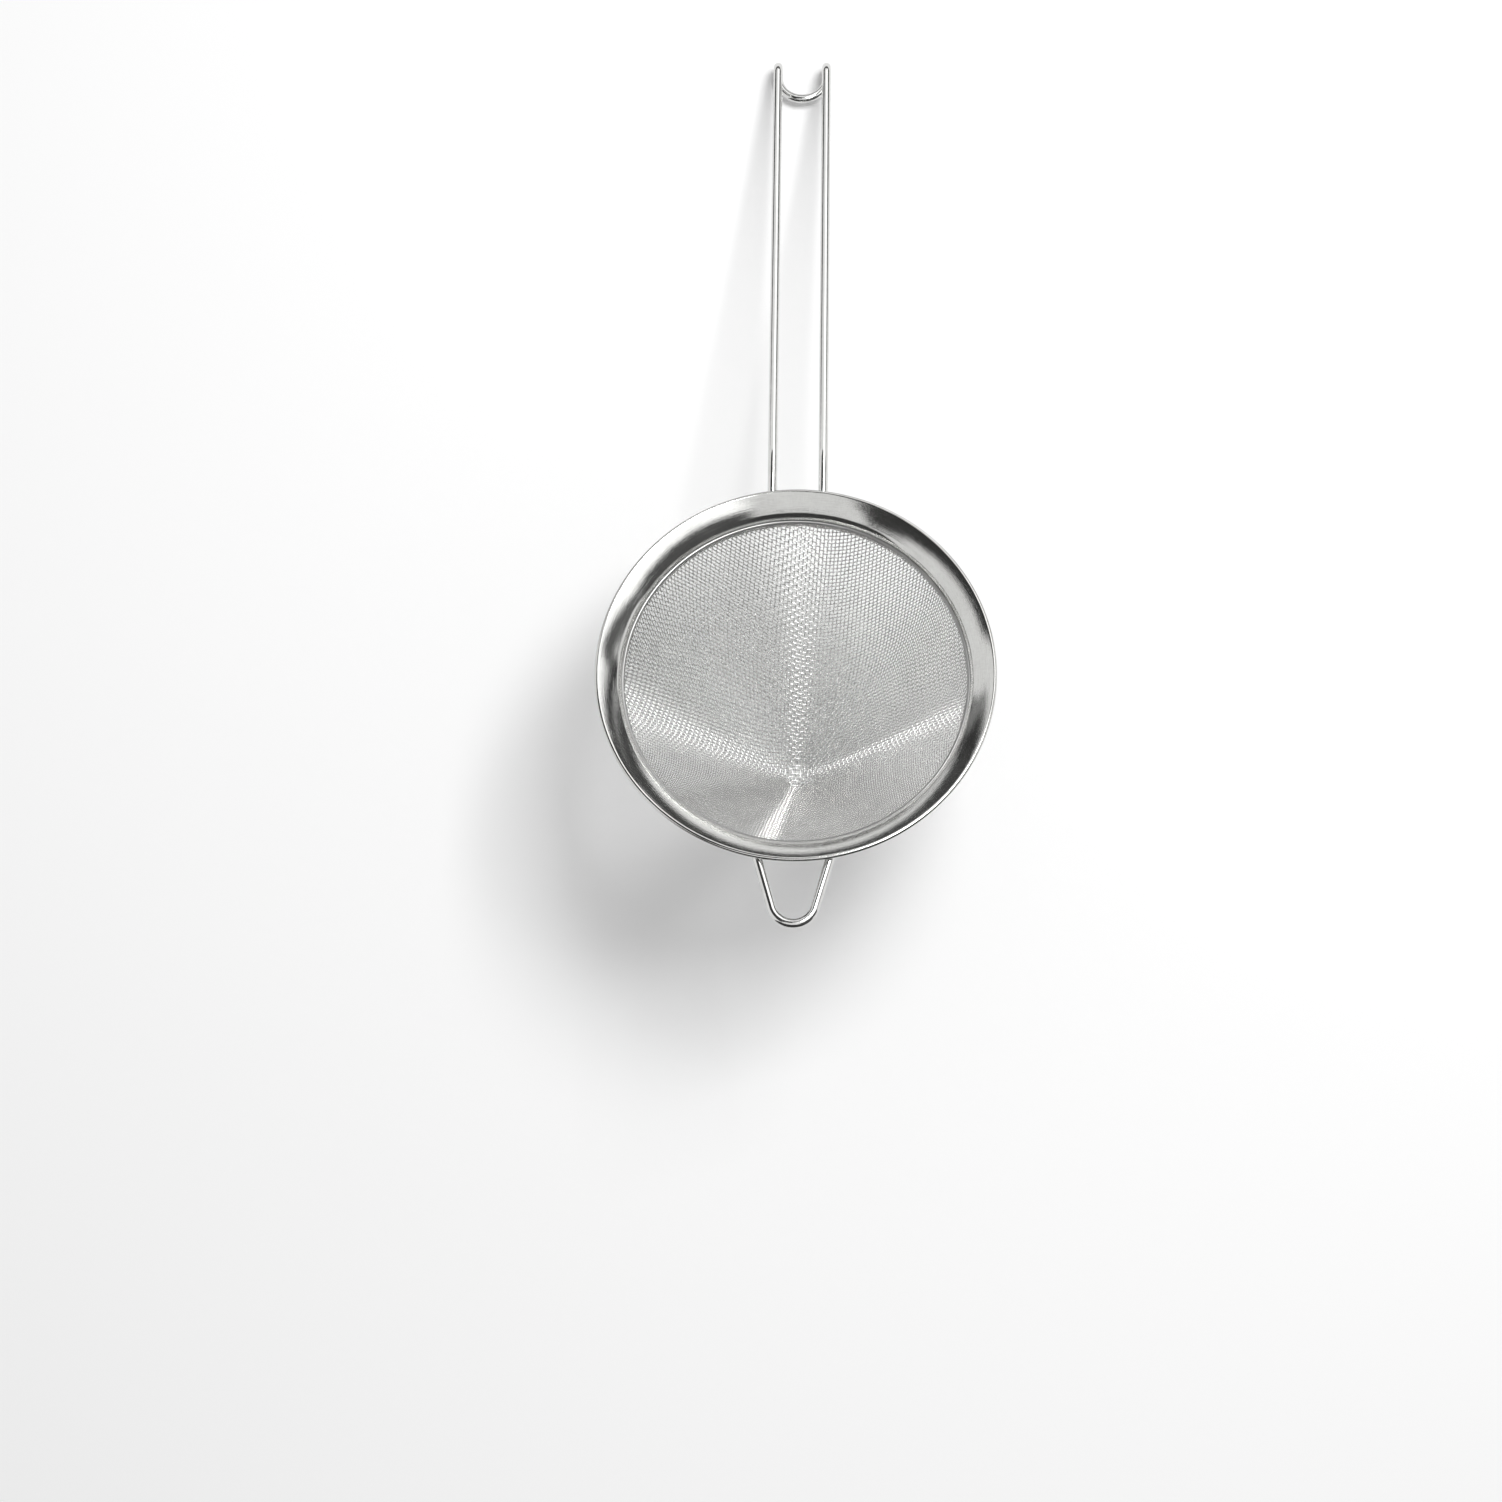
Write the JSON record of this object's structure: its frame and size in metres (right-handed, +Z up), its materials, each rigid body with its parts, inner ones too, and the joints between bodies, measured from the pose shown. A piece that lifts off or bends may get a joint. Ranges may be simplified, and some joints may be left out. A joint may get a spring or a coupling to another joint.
{
  "type": "conical strainer",
  "caption": "Hand-held conical strainer: a woven wire cone in a rolled steel rim, with a long wire handle that ends in a hook and a wire rest loop opposite.",
  "frame": {"origin": "on the cone's axis in the plane of the rim's crest", "axes": "+Z up out of the open mouth, +Y along the handle to the hook, -Y to the rest loop"},
  "size_m": [0.16, 0.3898, 0.118],
  "materials": {
    "polished_rim": "polished with fine scratches",
    "woven_mesh": "satin woven wire",
    "bright_wire": "bright drawn wire"
  },
  "bodies": {
    "root": {"rim_ring": "polished_rim", "clamp_ring": "polished_rim", "mesh_cone": "woven_mesh", "handle": "bright_wire", "rest_loop": "bright_wire"}
  },
  "joints": []
}
